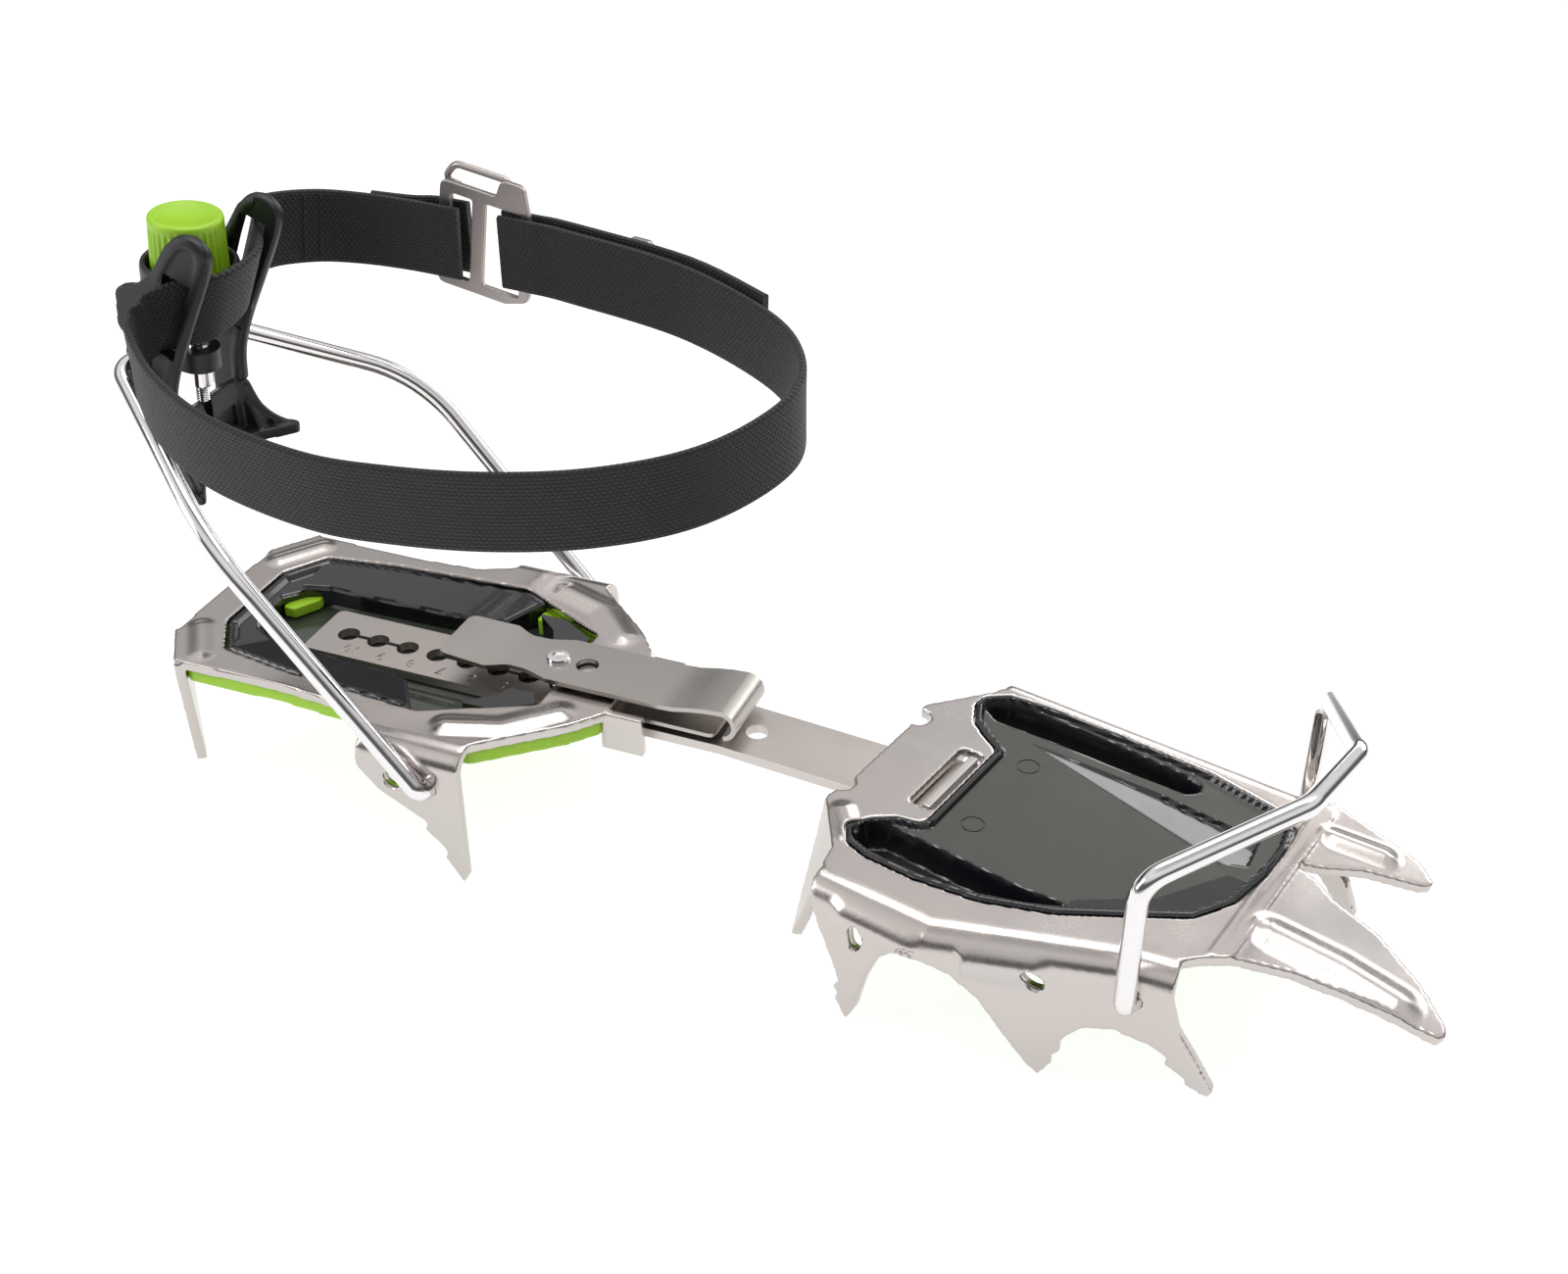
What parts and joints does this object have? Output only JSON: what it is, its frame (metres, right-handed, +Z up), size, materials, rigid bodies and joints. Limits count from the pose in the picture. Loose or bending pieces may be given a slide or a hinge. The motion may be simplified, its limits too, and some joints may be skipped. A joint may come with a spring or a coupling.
{
  "type": "step-in crampon",
  "caption": "Crampon with two steel point frames on a sliding centre bar, wire toe and heel bails, a screw-adjusted heel lever and an ankle strap.",
  "frame": {"origin": "middle of the bounding box's bottom face, on the ground under the points", "axes": "+X towards the toe along the centre bar, +Y towards the outer side of a left foot, +Z up"},
  "size_m": [0.3176, 0.1065, 0.1391],
  "materials": {
    "steel": "polished",
    "bar_steel": "brushed",
    "spring_steel": "satin",
    "buckle_steel": "satin",
    "bright_wire": "polished",
    "smoky_plastic": "glossy",
    "black_plastic": "glossy",
    "lime_plastic": "satin",
    "matte_black": "matte",
    "webbing": "woven"
  },
  "bodies": {
    "toe_unit": {"toe_frame": "steel", "toe_plate": "smoky_plastic", "toe_underplate": "lime_plastic", "centre_bar": "bar_steel"},
    "toe_wire": {"toe_bail": "bright_wire"},
    "heel_unit": {"heel_frame": "steel", "heel_plate": "black_plastic", "heel_underplate": "lime_plastic", "clip_base": "spring_steel", "clip_rivet": "spring_steel"},
    "clip": {"clip_leaf": "spring_steel", "clip_pin": "bright_wire"},
    "heel_wire": {"heel_bail": "bright_wire"},
    "carriage": {"wire_carriage": "bar_steel", "barrel_nut": "bright_wire"},
    "lever": {"lever_body": "matte_black", "ankle_strap": "webbing", "strap_fold": "webbing", "strap_tail": "webbing", "buckle_frame": "buckle_steel", "tail_clip": "buckle_steel"},
    "ring": {"buckle_ring": "bright_wire"},
    "knob": {"adjuster_knob": "lime_plastic", "adjuster_screw": "bar_steel", "screw_clip": "spring_steel"}
  },
  "joints": [
    {"name": "toe_bail_swing", "type": "hinge", "parent": "toe_unit", "child": "toe_wire", "pos_m": [0.10973, -0.01138, 0.025], "axis": [0.2957, 0.9553, 0], "range_deg": [-25, 35]},
    {"name": "size_slide", "type": "slide", "parent": "toe_unit", "child": "heel_unit", "axis": [1, 0, 0], "range_m": [-0.05082, 0]},
    {"name": "clip_lift", "type": "hinge", "parent": "heel_unit", "child": "clip", "pos_m": [-0.00777, 0.0033, 0.0362], "axis": [0, 1, 0], "range_deg": [0, 12], "stiffness_Nm_per_rad": 1.2},
    {"name": "heel_bail_swing", "type": "hinge", "parent": "heel_unit", "child": "heel_wire", "pos_m": [-0.06607, 0.0033, 0.0261], "axis": [0, 1, 0], "range_deg": [-25, 20]},
    {"name": "lever_tilt", "type": "hinge", "parent": "heel_wire", "child": "carriage", "pos_m": [-0.15457, 0.0033, 0.103], "axis": [0, -1, 0], "range_deg": [0, 90]},
    {"name": "lever_height", "type": "slide", "parent": "carriage", "child": "lever", "axis": [0.0872, 0, 0.9962], "range_m": [-0.0025, 0.003]},
    {"name": "knob_turn", "type": "hinge", "parent": "lever", "child": "knob", "pos_m": [-0.14361, 0.0033, 0.10204], "axis": [0.0872, 0, 0.9962], "range_deg": [-720, 863]},
    {"name": "ring_fold", "type": "hinge", "parent": "lever", "child": "ring", "pos_m": [-0.08845, 0.05138, 0.13188], "axis": [-0.9879, 0.0691, 0.1392], "range_deg": [0, 110]}
  ],
  "couplings": [
    {"joint": "lever_height", "follows": "knob_turn", "m_per_rad": 0.00019894}
  ]
}
